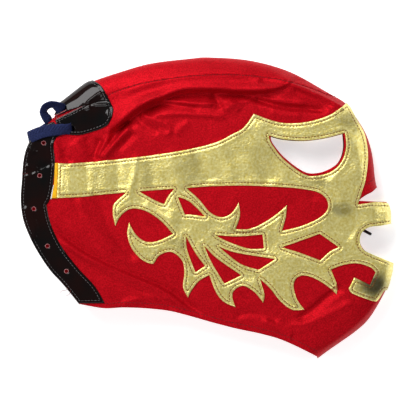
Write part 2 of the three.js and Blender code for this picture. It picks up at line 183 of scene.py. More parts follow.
APPLIQUE_WINDOWS = [
    [[(-55, 12.5)], [(-27, 14.5)], [(-32, 8.5), (-35, 2.5)], [(-41.5, 5), (-55, 12.5)]],
    [
        [(-17, 15)],
        [
            (1.5, 16.5), (25.5, 17), (45.5, 16.5), (69.5, 15), (86.5, 12), (94.5, 6), (95, -2),
            (88, -9), (74.5, -15), (59, -19),
        ],
        [(62, -8.5), (63, 1.5)],
        [(53.5, -6.5), (41.5, -14), (32, -17.5), (22, -17.5)],
        [(25.5, -7), (24.5, 3.5)],
        [(18.5, -5), (10.5, -8), (1.5, -4), (-7, 6), (-17, 15)],
    ],
    [[(-24, 8)], [(-14.5, 4), (-2.5, -7.5)], [(-13, -6), (-18.5, -6)], [(-24, 8)]],
    [[(-17.5, -23.5)], [(-10, -37), (-2.5, -47)], [(-10, -52)], [(-16.5, -34.5), (-17.5, -23.5)]],
    [[(-3, -31)], [(7, -41), (26.5, -54.5)], [(13, -61)], [(2.5, -43.5), (-3, -31)]],
    [[(6, -22.5)], [(24, -23.5), (43.5, -22)], [(44.5, -33)], [(32, -33), (16, -27.5), (6, -22.5)]],
    [[(8.5, -31.5)], [(22.5, -36.5), (53.5, -41.5)], [(40.5, -50)], [(25.5, -45), (8.5, -31.5)]],
    [
        [(59, -32)], [(71, -28), (89, -21.5)], [(104, -32)], [(97, -35.5), (89.5, -42.5)],
        [(73.5, -36.5), (59, -32)],
    ],
]
BAND_END = [(-121.9, 35), (-119.5, 35), (-120.5, 7), (-124.3, 7), (-122.6, 17.5)]
BACKING = [(-123.2, 17.5), (-122.8, 17.5), (-124.5, 6.4), (-125.4, 6.4)]
SLIT_LIP = [(-128, 66), (-121, 70), (-109, 76), (-99.6, 80.8), (-110.3, 77.4), (-122.3, 72.1), (-129, 68.5)]
NOSE_HEM = [(125.5, 17.8), (129.5, 20), (134, 24.5)]
LOOSE_THREADS = [
    [(-111, -64, 0), (-113, -66, 0.8), (-116, -66.5, 1.2), (-117.5, -68.5, 0.6)],
    [(-109, -65.5, 0), (-110, -69, 1.2), (-112.5, -70.5, 1.4)],
    [(-143.5, 27, 0), (-146.5, 26, 1), (-149, 28, 1.2)],
]
FACING = [
    [(-123, 68)], [(-116, 57.8)], [(-121, 55.5)],
    [(-123, 51), (-123, 45.5), (-122, 35), (-123.5, 17.5), (-125.5, 7), (-128.5, 1.5)],
    [(-126, -10.5), (-121, -23), (-114, -35), (-102, -50), (-90, -63), (-82, -76.5)],
    [(-125, -76.8)], [(-165, -40)], [(-165, 60)],
]
PATCH = [
    [(-122, 68.8)], [(-113.5, 58)],
    [(-103, 57.5), (-94.5, 59.5), (-85.5, 62.5), (-80, 65.5)],
    [(-77, 71), (-75.5, 78.5)],
    [(-78.5, 85), (-82.5, 92.5), (-86, 97.5), (-92, 101.5)],
    [(-95, 112)], [(-132, 96)], [(-125.5, 76)],
]
PATCH_UNDERSIDE = [(-118, 74), (-108, 83), (-98, 90.5), (-92, 101.5), (-95, 112), (-132, 96), (-125.5, 76)]
EYELETS = [(-131, 51), (-134, 25), (-138.5, -1.5), (-127.5, -31), (-112.5, -51)]
EYELET_RADIUS = 1.7
NEAR_LACE_HOLE = (-109.5, 62.5)
FAR_LACE_HOLE = (-116, 77.5)

# Folds in the satin of the right side: the line, the height, and how far the cloth takes to fall
# away on the left and on the right of the line. A short fall makes a pleat's edge.
FOLDS = [
    # The big pleat along the crown and its turned-up front end.
    ([
        (-84, 56), (-72, 66), (-58.5, 77.5), (-46, 85), (-37, 88), (-28, 91.5), (-19, 94),
        (-4, 94.8), (18, 93.6), (33.5, 93), (49.5, 94), (60, 96.5), (66.5, 101), (68.5, 107), (67, 113),
    ], 5.8, 9, 0.9),
    ([
        (-86, 56), (-72, 63.5), (-58, 73), (-44, 81), (-28, 88), (0, 91), (35, 89.5), (62, 91.5),
    ], -4.8, 1.2, 5.0),
    # The seam allowance that shows as a ridge over the pleat.
    ([(-60, 84), (-48, 91), (-30, 95.5), (0, 99), (40, 99.5), (66, 101)], -1.1, 3.5, 3.5),
    ([(-72, 88), (-55, 96), (-30, 103), (5, 107), (40, 106)], 1.6, 5, 3),
    # The lesser ledges under it.
    ([(-58, 79), (-46.5, 84), (-38.5, 84.8), (-24, 83.8), (-4, 81.5), (10, 83)], 3.0, 4, 0.9),
    ([(-52, 80), (-36, 82), (-20, 81), (-6, 78)], -1.6, 1, 3),
    ([(-46.5, 71.5), (-26.5, 73.5), (0, 72.5), (16, 70)], 2.2, 4, 1.0),
    ([(2, 90), (7, 85), (11, 79)], -2.8, 2.2, 4),
    ([(12, 76), (20, 82), (28, 85), (40, 86)], 1.9, 2.5, 2.5),
    # The forehead.
    ([(30, 88), (43, 84.5), (57.5, 81), (73.5, 79), (97, 77)], -4.0, 3.0, 2.2),
    ([(62, 100), (77.5, 94), (93.5, 87), (113, 77)], 3.8, 1.5, 2.4),
    ([(66, 104), (82, 99), (98, 91), (114, 82)], -2.5, 2.2, 1.8),
    ([(70, 109), (86, 102), (100, 93.5), (114, 84)], 2.0, 1.5, 1.5),
    ([(66, 93), (80, 87.5), (100, 80)], -2.0, 3, 2.6),
    ([(29.5, 91), (43, 87.6), (60, 83.5), (80, 82)], 2.0, 1.8, 2.2),
    ([(48, 76), (60, 73), (75, 72)], 1.1, 3, 2.5),
    ([(16, 88), (19, 82.5), (25.5, 76)], 1.8, 3, 3),
    ([(40, 101), (52, 99), (64, 97)], -1.8, 3, 3),
    # Between the patch and the temple band.
    ([(-122.5, 53.5), (-120, 47), (-116, 39)], 1.8, 2.5, 2.5),
    ([(-117, 45.5), (-113.5, 39), (-109, 35)], -1.8, 2, 2.5),
    ([(-106.5, 53.5), (-101, 45.5), (-94.5, 39)], 1.8, 4, 4),
    ([(-98, 56), (-94, 48), (-97, 38)], -1.8, 3, 3),
    ([(-85.5, 56), (-89, 46), (-91.5, 36)], -2.5, 2.2, 3),
    ([(-78.5, 63), (-81, 53.5), (-89.5, 39)], 2.4, 2.0, 2.0),
    ([(-86, 38), (-78.5, 47), (-70, 57), (-62, 66)], 4.0, 1.4, 3.6),
    ([(-80, 50), (-72, 59), (-62, 70)], -2.2, 2.4, 1.6),
    ([(-73, 46), (-65.5, 52), (-58, 60)], -2.1, 2.5, 2.4),
    ([(-54.5, 76), (-46.5, 71), (-34.5, 66.5)], 1.9, 2.2, 2.2),
    ([(-57.5, 71), (-49.5, 64.5), (-38.5, 60)], -1.9, 2.4, 2.4),
    ([(-36, 68), (-30, 62), (-34, 56)], 1.5, 2, 2.4),
    ([(-14, 68), (-22, 63), (-26, 57)], 1.1, 3, 3),
    # The cheek.
    ([
        (-126, -12), (-113.5, -24), (-101, -34), (-86.5, -42), (-73.5, -48.5), (-53, -56.5),
        (-33.5, -65), (-16, -78), (1.5, -89.5),
    ], -2.8, 3.6, 1.8),
    ([
        (-121, -24), (-111, -30), (-98, -38), (-84, -45), (-70, -51), (-50, -60), (-31, -70),
        (-14, -84),
    ], 2.2, 1.6, 3.6),
    ([
        (-118.5, -28.5), (-102.5, -43), (-78.5, -56.5), (-54.5, -67), (-34.5, -76.5), (-18.5, -87),
    ], -1.5, 3, 4),
    ([(-94, 14), (-86, 2), (-80, -14), (-70, -28), (-56, -44)], -2.0, 3.4, 4.2),
    ([(-104, 10), (-97, -8), (-86, -24), (-72, -38)], 1.5, 4, 3),
    ([(-70, -78), (-50, -72), (-30, -74)], 1.2, 3, 3),
    # The throat and the chin.
    ([(70, -90), (84, -81), (97.5, -69.5), (109.5, -61.5)], -2.8, 2.5, 4),
    ([(43, -90), (53.5, -95), (68, -104)], 2.0, 2.5, 2.5),
    ([(88, -117), (109.5, -101.5), (126.5, -86), (138, -72)], 1.9, 2.6, 2.2),
    ([(60, -96), (80, -93), (100, -84), (118, -74)], 1.5, 3.5, 3.5),
    ([(20, -88), (36, -84), (58, -90)], -1.5, 3, 3),
]

# Soft waves across the temple band and the forehead gold.
BAND_WAVES = [
    ([(-110, 40), (-111, 22), (-109, 4)], 0.49, 4, 4),
    ([(-98, 40), (-97, 22), (-98, 4)], -0.56, 4, 4),
    ([(-82, 42), (-83, 24), (-82, 6)], 0.49, 4.5, 4.5),
    ([(-72, 42), (-72, 24), (-71, 6)], -0.56, 3.5, 3.5),
    ([(-57, 44), (-59, 24), (-64, 8)], 0.7, 2.2, 3),
    ([(-48, 46), (-46, 28), (-44, 10)], -0.56, 4, 5),
    ([(-30, 48), (-27, 30), (-24, 12)], 0.56, 5, 5),
    ([(-12, 50), (-6, 34), (2, 18)], -0.63, 5, 4),
    ([(8, 56), (14, 40), (20, 20)], 0.63, 5, 5),
    ([(24, 62), (34, 46), (44, 30), (50, 16)], -0.7, 5, 5),
    ([(38, 70), (44, 56), (54, 40), (64, 18)], 0.56, 4, 5),
    ([(78, 26), (84, 14), (84, 4)], -0.84, 4, 4),
    ([(96, 24), (104, 12), (108, -2)], 0.7, 5, 4),
    ([(104, 76), (112, 68), (120, 62)], -0.84, 4, 4),
    ([(96, -4), (104, -16), (116, -24)], -0.63, 5, 5),
    ([(-34, -30), (-30, -14), (-28, 0)], 0.56, 4, 4),
    ([(-52, 4), (-40, -6), (-22, -12)], 0.49, 3, 4),
    ([(44, -48), (60, -42), (84, -44)], 0.56, 4, 4),
    ([(20, -62), (30, -56), (44, -54)], -0.49, 3, 4),
]

# Creases in the patent patch, where it bends at the end of the slit.
PATCH_CREASES = [
    ([(-98.5, 82), (-92, 87.5), (-85.5, 91.5), (-83, 86)], 1.3, 0.7, 1.1),
    ([(-99.5, 77), (-91, 81.5), (-83, 82), (-77.5, 82.5)], 1.3, 0.7, 1.1),
    ([(-95, 79.5), (-88, 84), (-80, 85)], -0.8, 1.5, 1.5),
]
FACING_CREASES = [
    ([(-146, 33.5), (-139, 31.5), (-136, 28.5), (-139, 25.5), (-146, 24)], 0.7, 0.8, 1.2),
    ([(-146, 47), (-140, 44), (-136, 46)], 0.8, 1.2, 1.5),
    ([(-137, 30), (-130, 33), (-122, 36)], -0.6, 2, 2),
    ([(-146, 2), (-139, -8), (-137, -20), (-141, -28)], 0.8, 2.5, 3.5),
]

# The lace's centre line and, at each of its points, which way its width lies.
LACE_ROUTE = [
    ((-88.5, 76, 6.6), (0, 1, 0)), ((-96, 76.5, 7.6), (0, 1, 0)), ((-104, 77, 8.5), (0, 1, 0.1)),
    ((-110.5, 77.2, 9.8), (0, 1, 0.2)), ((-114.8, 77.3, 13), (0.3, 1, 0.1)),
    ((-116, 77.5, 17), (0.5, 0.9, 0)), ((-118, 79.2, 21.3), (0.55, 0.7, 0.35)),
    ((-121.5, 81.3, 24.4), (0.25, 0.5, 0.8)), ((-125.8, 81.6, 25.2), (-0.05, 0.5, 0.84)),
    ((-129.6, 79.6, 24.6), (-0.42, 0.35, 0.82)), ((-131.2, 75.9, 23.6), (-0.55, 0.02, 0.82)),
    ((-129.8, 72.2, 22.4), (-0.5, -0.35, 0.75)), ((-127.4, 69, 20), (-0.4, -0.6, 0.55)),
    ((-127, 65, 16.4), (-0.2, -0.9, 0.2)), ((-131, 61, 15.6), (0.25, -0.95, 0)),
    ((-137, 58.4, 16.6), (0.25, -0.98, 0)), ((-141.8, 56.2, 19.6), (0.2, -0.98, 0)),
    ((-142.8, 55.4, 24), (0.2, -0.96, -0.1)), ((-141, 56, 27.6), (0.3, -0.9, -0.25)),
    ((-136.5, 58.1, 28.6), (0.28, -0.96, -0.12)), ((-130, 60.2, 27.4), (0.15, -0.98, -0.1)),
    ((-122, 61.4, 25.8), (0.05, -0.95, -0.25)), ((-115, 61.9, 24.9), (0.02, -0.85, -0.5)),
    ((-111.2, 62.3, 23.4), (0.02, -0.75, -0.65)), ((-109.4, 62.5, 19.3), (0.1, -0.9, -0.3)),
    ((-108.5, 62, 14.5), (0, -1, 0)), ((-105.3, 60.5, 10), (0.2, -1, 0)), ((-99, 57, 6.8), (0.5, -0.8, 0)),
    ((-88, 51, 5.3), (0.5, -0.85, 0)), ((-72, 41, 5.3), (0.5, -0.85, 0)), ((-52, 27, 5.3), (0.5, -0.85, 0)),
    ((-28, 15, 5.3), (0.3, -0.95, 0)), ((0, 9, 5.3), (0.1, -1, 0)), ((28, 8, 5.3), (0, -1, 0)),
    ((55, 6, 5.3), (-0.1, -1, 0)), ((78, 2, 5.3), (-0.2, -1, 0)), ((96, -4, 5.3), (-0.35, -0.9, 0)),
    ((110.7, -11, 5.3), (-0.45, -0.9, 0)),
]
# The rest is wound in a flat oval: stops round one turn, as which end and the angle there.
HANK_STOPS_ROUND = [
    (-1, -90), (0, -90), (1, -90), (1, -45), (1, 0), (1, 45), (1, 90), (0, 90), (-1, 90), (-1, 135),
    (-1, 180), (-1, 225),
]
HANK_STOPS = 20
HANK_FIRST_RADIUS = 7
HANK_PITCH = 3.8
HANK_LEVEL = 5.3
HANK_CLIMB = 1.6
HANK_END = 17

# ---- plan geometry


def spline(points, step=1.0, closed=False):
    """A smooth line through the points, as an array, about step apart."""
    p = np.array(points, float)
    p = np.vstack([p[-1], p, p[0], p[1]]) if closed else np.vstack([p[0], p, p[-1]])
    out = []
    for a, b, c, d in zip(p, p[1:], p[2:], p[3:]):
        t = np.linspace(0, 1, max(2, int(np.linalg.norm(c - b) / step) + 1), endpoint=False)[:, None]
        out.append(
            0.5 * (2 * b + (c - a) * t + (2 * a - 5 * b + 4 * c - d) * t**2 + (3 * b - a - 3 * c + d) * t**3)
        )
    return np.vstack(out if closed else [*out, p[-2:-1]])


def outline(stretches, step=1.0):
    """A closed outline whose stretches are smooth and meet at corners."""
    last = np.array(stretches[0][0], float)
    out = []
    for stretch in [*stretches[1:], [stretches[0][0]]]:
        piece = spline([last, *stretch], step)
        last = piece[-1]
        out.append(piece[:-1])
    line = np.vstack(out)
    keep = np.linalg.norm(line - np.roll(line, 1, axis=0), axis=1) > 0.05
    return line[keep]


def straight(points, step=1.0):
    """A closed outline with straight sides."""
    return outline([[p] for p in points], step)


def ring(centre, radius, sides=16):
    turn = np.arange(sides) / sides * 2 * math.pi
    return np.column_stack([centre[0] + radius * np.cos(turn), centre[1] + radius * np.sin(turn)])


def inside(line, points):
    """Whether each point lies inside a closed outline."""
    low, high = line.min(0), line.max(0)
    near = np.flatnonzero(((points >= low) & (points <= high)).all(1))
    result = np.zeros(len(points), bool)
    a, b = line, np.roll(line, -1, axis=0)
    for part in np.array_split(near, max(1, len(near) * len(line) // 4_000_000)):
        x, y = points[part, :1], points[part, 1:]
        crosses = (a[:, 1] > y) != (b[:, 1] > y)
        rise = np.where(b[:, 1] == a[:, 1], 1.0, b[:, 1] - a[:, 1])
        at = a[:, 0] + (y - a[:, 1]) * (b[:, 0] - a[:, 0]) / rise
        result[part] = (crosses & (x < at)).sum(1) % 2 == 1
    return result


def tree_of(points):
    tree = kdtree.KDTree(len(points))
    for i, p in enumerate(points):
        tree.insert((p[0], p[1], 0), i)
    tree.balance()
    return tree


def away_from(tree, points):
    """How far each point is from the nearest point in the tree."""
    return np.array([tree.find((p[0], p[1], 0))[2] for p in points])


class Edge:
    """A closed outline that distances are measured from."""

    def __init__(self, line):
        self.line = line
        self.tree = tree_of(line)

    def distance(self, points):
        """How far each point is from the line, positive inside it."""
        nearest = np.array([self.tree.find((p[0], p[1], 0))[1] for p in points])
        best = np.full(len(points), 1e9)
        count = len(self.line)
        for shift in (-1, 0):
            a = self.line[(nearest + shift) % count]
            b = self.line[(nearest + shift + 1) % count]
            along = b - a
            t = ((points - a) * along).sum(1) / (along**2).sum(1)
            foot = a + np.clip(t, 0, 1)[:, None] * along
            best = np.minimum(best, np.linalg.norm(points - foot, axis=1))
        return np.where(inside(self.line, points), best, -best)


def grown(line, amount):
    """A closed clockwise outline moved outwards."""
    along = np.roll(line, -1, axis=0) - np.roll(line, 1, axis=0)
    along /= np.linalg.norm(along, axis=1)[:, None]
    return line + np.column_stack([-along[:, 1], along[:, 0]]) * amount


def smoothstep(t):
    t = np.clip(t, 0, 1)
    return t * t * (3 - 2 * t)


def folds(points, entries, fade=0.13):
    """The height that a list of folds adds at each point."""
    total = np.zeros(len(points))
    for controls, height, left, right in entries:
        line = spline(controls, 3.0)
        reach = 2.6 * max(left, right)
        low, high = line.min(0) - reach, line.max(0) + reach
        near = np.flatnonzero(((points >= low) & (points <= high)).all(1))
        if not len(near):
            continue
        a, b = line[:-1], line[1:]
        along = b - a
        long = np.linalg.norm(along, axis=1)
        start = np.concatenate([[0], np.cumsum(long)[:-1]])
        away = points[near][:, None] - a
        t = np.clip((away * along).sum(2) / long**2, 0, 1)
        off = away - t[..., None] * along
        far = np.linalg.norm(off, axis=2)
        best = far.argmin(1)
        rows = np.arange(len(near))
        side = along[best, 0] * off[rows, best, 1] - along[best, 1] * off[rows, best, 0]
        width = np.where(side > 0, left, right)
        share = (start[best] + t[rows, best] * long[best]) / long.sum()
        shape = np.exp(-((far[rows, best] / width) ** 2))
        total[near] += height * shape * smoothstep(share / fade) * smoothstep((1 - share) / fade)
    return total


def ripple(points, size, seed):
    """Gentle unevenness, from -1 to 1, with waves about size across."""
    return np.array([noise.noise((p[0] / size, p[1] / size, seed)) for p in points])


# ---- the hood's surface

rim = spline(RIM, 2.0, closed=True)
rim_edge = Edge(rim)
fold_along = (FOLD_FOOT - FOLD_TOP) / np.linalg.norm(FOLD_FOOT - FOLD_TOP)
fold_out = np.array([fold_along[1], -fold_along[0]])


def lift(points):
    """How far the back of the hood springs up off the table."""
    past = (points - FOLD_TOP) @ fold_out + LIFT_REACH
    return LIFT_SLOPE * (np.sqrt(past**2 + LIFT_SOFTNESS**2) + past) / 2


def crumple(points, upper, depth, lined=False):
    """The creases of one side; depth is how far each point is from the rim.

    The lining hangs clear under the pleats, and only follows the valleys.
    """
    if not upper:
        return -0.35 * smoothstep(depth / 12) * np.abs(ripple(points, 30, 7.3))
    uneven = 0.55 * ripple(points, 26, 1.7) + 0.3 * ripple(points, 12, 4.1)
    slack = smoothstep((points[:, 0] + 128) / 12)
    entries = FOLDS + BAND_WAVES
    if lined:
        entries = [
            (line, LINING_SAG * height, max(left, LINING_BEND), max(right, LINING_BEND))
            for line, height, left, right in entries if height < 0
        ]
    return folds(points, entries) + uneven * slack * smoothstep(depth / 10)


def surface(points, offset, upper, creased, depth):
    """The height of the hood's skin at that offset, given the creases at each point."""
    share = np.clip((depth + offset - PANEL[1]) / (EDGE_DEPTH + offset), 0, 1)
    round_off = np.sqrt(np.maximum(0, 1 - (1 - share) ** 2))
    rise = (UPPER_RISE + points[:, 0] * UPPER_SLOPE if upper else LOWER_RISE) + offset
    side = 1 if upper else -1
    return RIM_Z + side * (rise + creased) * round_off + lift(points)


# ---- meshes


def triangulate(lines, points, keep):
    """A triangle net over the points, with the closed lines as edges, where keep is true."""
    verts, edges = [], []
    for line in lines:
        first = len(verts)
        verts.extend(line.tolist())
        count = len(line)
        edges.extend((first + i, first + (i + 1) % count) for i in range(count))
    verts.extend(points.tolist())
    out = delaunay_2d_cdt([Vector(v) for v in verts], edges, [], 0, 1e-4)
    flat = np.array([(v.x, v.y) for v in out[0]])
    faces = np.array([f for f in out[2] if len(f) == 3])
    faces = faces[keep(flat[faces].mean(1))]
    used, index = np.unique(faces, return_inverse=True)
    return flat[used], index.reshape(faces.shape)


def grid(low, high, step):
    """Points in a honeycomb."""
    rows = np.arange(low[1], high[1], step * math.sqrt(3) / 2)
    cols = np.arange(low[0], high[0], step)
    x = np.concatenate([cols + (i % 2) * step / 2 for i in range(len(rows))])
    return np.column_stack([x, np.repeat(rows, len(cols))])


def shell(flat, faces, top, bottom):
    """(vertices, faces) of a closed sheet between two heights over one net."""
    count = len(flat)
    verts = np.vstack([np.column_stack([flat, top]), np.column_stack([flat, bottom])])
    pairs = np.vstack([faces[:, [0, 1]], faces[:, [1, 2]], faces[:, [2, 0]]])
    key = pairs[:, 0].astype(np.int64) * count + pairs[:, 1]
    back = pairs[:, 1].astype(np.int64) * count + pairs[:, 0]
    border = pairs[~np.isin(key, back)]
    walls = np.vstack([
        np.column_stack([border[:, 1], border[:, 0], border[:, 0] + count]),
        np.column_stack([border[:, 1], border[:, 0] + count, border[:, 1] + count]),
    ])
    return verts, np.vstack([faces, faces[:, ::-1] + count, walls])


def mesh_object(name, parts, material):
    """One object from a list of (vertices in millimetres, faces)."""
    verts, faces, first = [], [], 0
    for v, f in parts:
        verts.append(np.asarray(v, float))
        faces.append(np.asarray(f) + first)
        first += len(v)
    mesh = bpy.data.meshes.new(name)
    mesh.from_pydata((np.vstack(verts) * MM).tolist(), [], np.vstack(faces).tolist())
    mesh.shade_smooth()
    obj = bpy.data.objects.new(name, mesh)
    bpy.context.scene.collection.objects.link(obj)
    mesh.materials.append(material)
    return obj


def skin(region, lines, layer, upper, step, relief, silhouette):
    """A sheet of one layer over one side of the hood, as (vertices, faces)."""
    everything = np.vstack(lines)
    low = np.maximum(everything.min(0), silhouette.min(0))
    high = np.minimum(everything.max(0), silhouette.max(0))
    points = grid(low, high, step)
    points = points[rim_edge.distance(points) > RIM_RINGS[-1] + 0.4]
    points = np.vstack([points, *[grown(silhouette, -inset) for inset in RIM_RINGS]])
    points = points[((points >= low) & (points <= high)).all(1)]
    points = points[away_from(tree_of(np.vstack(lines)), points) > 0.4 * min(step, 1.0)]
    flat, faces = triangulate([*lines, silhouette], points, region)
    depth = rim_edge.distance(flat)
    creased = crumple(flat, upper, depth, layer is LINING)
    extra = 0 if relief is None else relief(flat)
    top = surface(flat, layer[1], upper, creased + extra, depth)
    bottom = surface(flat, layer[0], upper, creased, depth)
    if upper:
        return shell(flat, faces, np.maximum(top, bottom), bottom)
    return shell(flat, faces, bottom, np.minimum(top, bottom))


# ---- materials


def principled(name, color, roughness, **values):
    material = bpy.data.materials.new(name)
    material.use_nodes = True
    shader = material.node_tree.nodes["Principled BSDF"]
    shader.inputs["Base Color"].default_value = (*color, 1)
    shader.inputs["Roughness"].default_value = roughness
    for key, value in values.items():
        shader.inputs[key.replace("_", " ")].default_value = value
    return material


def noise_on(material, scale, detail):
    """(nodes, links, noise texture) of the material; scale is in waves to the metre."""
    nodes, links = material.node_tree.nodes, material.node_tree.links
    where = nodes.new("ShaderNodeTexCoord")
    texture = nodes.new("ShaderNodeTexNoise")
    texture.inputs["Scale"].default_value = scale
    texture.inputs["Detail"].default_value = detail
    links.new(where.outputs["Object"], texture.inputs["Vector"])
    return nodes, links, texture


def grain(material, scale, detail, distance, strength):
    """A fine bump on the material."""
    nodes, links, texture = noise_on(material, scale, detail)
    bump = nodes.new("ShaderNodeBump")
    bump.inputs["Strength"].default_value = strength
    bump.inputs["Distance"].default_value = distance
    links.new(texture.outputs["Fac"], bump.inputs["Height"])
    links.new(bump.outputs["Normal"], nodes["Principled BSDF"].inputs["Normal"])


def mottle(material, scale, detail, low, high, span=(0.35, 0.65)):
    """The base colour wanders between two colours."""
    nodes, links, texture = noise_on(material, scale, detail)
    ramp = nodes.new("ShaderNodeValToRGB")
    ramp.color_ramp.elements[0].position = span[0]
    ramp.color_ramp.elements[1].position = span[1]
    ramp.color_ramp.elements[0].color = (*low, 1)
    ramp.color_ramp.elements[1].color = (*high, 1)
    links.new(texture.outputs["Fac"], ramp.inputs["Fac"])
    links.new(ramp.outputs["Color"], nodes["Principled BSDF"].inputs["Base Color"])


def paint_shade_spots(material, shade_spots):
    """Painted shade: the base colour darkens around each (middle and radii on plan in millimetres, how much).
    """
    nodes, links = material.node_tree.nodes, material.node_tree.links
    target = nodes["Principled BSDF"].inputs["Base Color"]
    for middle, radius, amount in shade_spots:
        where = nodes.new("ShaderNodeTexCoord")
        mapping = nodes.new("ShaderNodeMapping")
        middle, radius = (*middle, SHADE_SPOT_LEVEL), (*radius, SHADE_SPOT_HEIGHT)
        mapping.inputs["Scale"].default_value = [1 / (r * MM) for r in radius]
        mapping.inputs["Location"].default_value = [-m / r for m, r in zip(middle, radius)]
        shade_blob = nodes.new("ShaderNodeTexGradient")
        shade_blob.gradient_type = "SPHERICAL"
        ramp = nodes.new("ShaderNodeValToRGB")
        ramp.color_ramp.elements[0].color = (1, 1, 1, 1)
        ramp.color_ramp.elements[1].color = (*([1 - amount] * 2), 1 - amount * 0.95, 1)
        ramp.color_ramp.elements[1].position = 0.7
        ramp.color_ramp.interpolation = "EASE"
        mix = nodes.new("ShaderNodeMix")
        mix.data_type = "RGBA"
        mix.blend_type = "MULTIPLY"
        mix.inputs["Factor"].default_value = 1
        source = target.links[0].from_socket
        links.new(where.outputs["Object"], mapping.inputs["Vector"])
        links.new(mapping.outputs["Vector"], shade_blob.inputs["Vector"])
        links.new(shade_blob.outputs["Fac"], ramp.inputs["Fac"])
        links.new(source, mix.inputs[6])
        links.new(ramp.outputs["Color"], mix.inputs[7])
        links.new(mix.outputs[2], target)


satin = principled("red satin", (0.46, 0.003, 0.008), 0.52, Metallic=0.42, Specular_IOR_Level=0.05)
mottle(satin, 1000, 3, (0.36, 0.002, 0.006), (0.56, 0.004, 0.012), (0.38, 0.62))
grain(satin, 1100, 3, 0.0003, 0.8)
knit = principled("red lining", (0.42, 0.006, 0.014), 0.85, Specular_IOR_Level=0.1)
mottle(knit, 900, 3, (0.3, 0.002, 0.006), (0.46, 0.005, 0.012))
grain(knit, 1200, 2, 0.0001, 0.5)
gold = principled("gold vinyl", (0.8, 0.66, 0.26), 0.4, Metallic=0.8, Specular_IOR_Level=0.5)
mottle(gold, 520, 6, (0.76, 0.61, 0.13), (1.0, 0.91, 0.4), (0.3, 0.7))
grain(gold, 650, 8, 0.0005, 0.6)
# Painted shade on the gold: darker spots on the chin hook and in patches round the windows and across the
# band, standing in for where the tilted vinyl reflects little light.
paint_shade_spots(gold, [
    ((132, -62), (17, 14), 0.85), ((106, -2), (13, 8), 0.45), ((90, 20), (12, 8), 0.35),
    ((113, 70), (14, 9), 0.45), ((-48, 26), (9, 26), 0.2), ((-14, 34), (12, 26), 0.22),
    ((-88, 22), (8, 24), 0.16), ((44, 40), (14, 22), 0.2),
    ((30, -18), (20, 6), 0.25), ((-24, -30), (10, 8), 0.25),
])
yellow = principled("yellow vinyl", (0.85, 0.45, 0.002), 0.35)
mottle(yellow, 300, 3, (0.8, 0.38, 0.001), (0.9, 0.5, 0.004))
backing = principled("white backing", (0.8, 0.78, 0.76), 0.8)
grain(backing, 1500, 2, 0.0001, 0.5)
patent = principled(
    "black patent", (0.003, 0.002, 0.002), 0.5, Specular_IOR_Level=0.02, Coat_Weight=0.8, Coat_Roughness=0.06,
    Coat_IOR=1.38,
)
mottle(patent, 40, 3, (0.002, 0.002, 0.002), (0.008, 0.0015, 0.001))
lace_cloth = principled("navy lace", (0.012, 0.018, 0.075), 0.8, Specular_IOR_Level=0.2)
mottle(lace_cloth, 1600, 2, (0.004, 0.007, 0.035), (0.02, 0.03, 0.11))
aglet_black = principled("black aglet", (0.006, 0.006, 0.008), 0.25)
mottle(aglet_black, 500, 2, (0.004, 0.004, 0.006), (0.01, 0.01, 0.012))
gold_thread = principled("brown thread", (0.1, 0.04, 0.006), 0.7)
mottle(gold_thread, 900, 2, (0.14, 0.04, 0.002), (0.32, 0.11, 0.008))
red_thread = principled("red thread", (0.2, 0.002, 0.006), 0.8)
mottle(red_thread, 900, 2, (0.07, 0.001, 0.002), (0.2, 0.003, 0.008))
grey_thread = principled("grey thread", (0.11, 0.1, 0.1), 0.7)
mottle(grey_thread, 900, 2, (0.04, 0.036, 0.04), (0.16, 0.15, 0.15))
cut_cloth = principled("pink cut edge", (0.45, 0.1, 0.11), 0.9)
mottle(cut_cloth, 900, 2, (0.3, 0.06, 0.08), (0.5, 0.22, 0.22))
floor_white = principled("white table", (0.9, 0.9, 0.9), 0.9, Emission_Strength=0.6)
floor_white.node_tree.nodes["Principled BSDF"].inputs["Emission Color"].default_value = (1, 1, 1, 1)

# ---- camera

camera_data = bpy.data.cameras.new("camera")
camera_data.sensor_width = 36
camera_data.lens = 36 * CAMERA_DISTANCE / (VIEW_WIDTH * MM)
camera_data.clip_end = 10
camera = bpy.data.objects.new("camera", camera_data)
camera.location = (0, -0.8 * MM, CAMERA_DISTANCE + CAMERA_LEVEL * MM)
bpy.context.scene.collection.objects.link(camera)
bpy.context.scene.camera = camera

# ---- lace


def hank_path():
    """Points and width directions of the lace that is wound up in the crown."""
    low, high = np.array(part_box("lace_hank")) / MM
    middle = (low + high) / 2
    reach = (high[0] - low[0]) / 2 - HANK_END
    points, widths = [], []
    for step in range(HANK_STOPS):
        turns = step / len(HANK_STOPS_ROUND)
        radius = HANK_FIRST_RADIUS + HANK_PITCH * turns
        end, angle = HANK_STOPS_ROUND[step % len(HANK_STOPS_ROUND)]
        way = np.array([math.cos(math.radians(angle)), math.sin(math.radians(angle))])
        x, y = middle[:2] + (reach * end, 0) + radius * way
        points.append(np.array([x, y, HANK_LEVEL + HANK_CLIMB * turns]))
        widths.append(np.array([*way, 0.0]))
    return points, widths


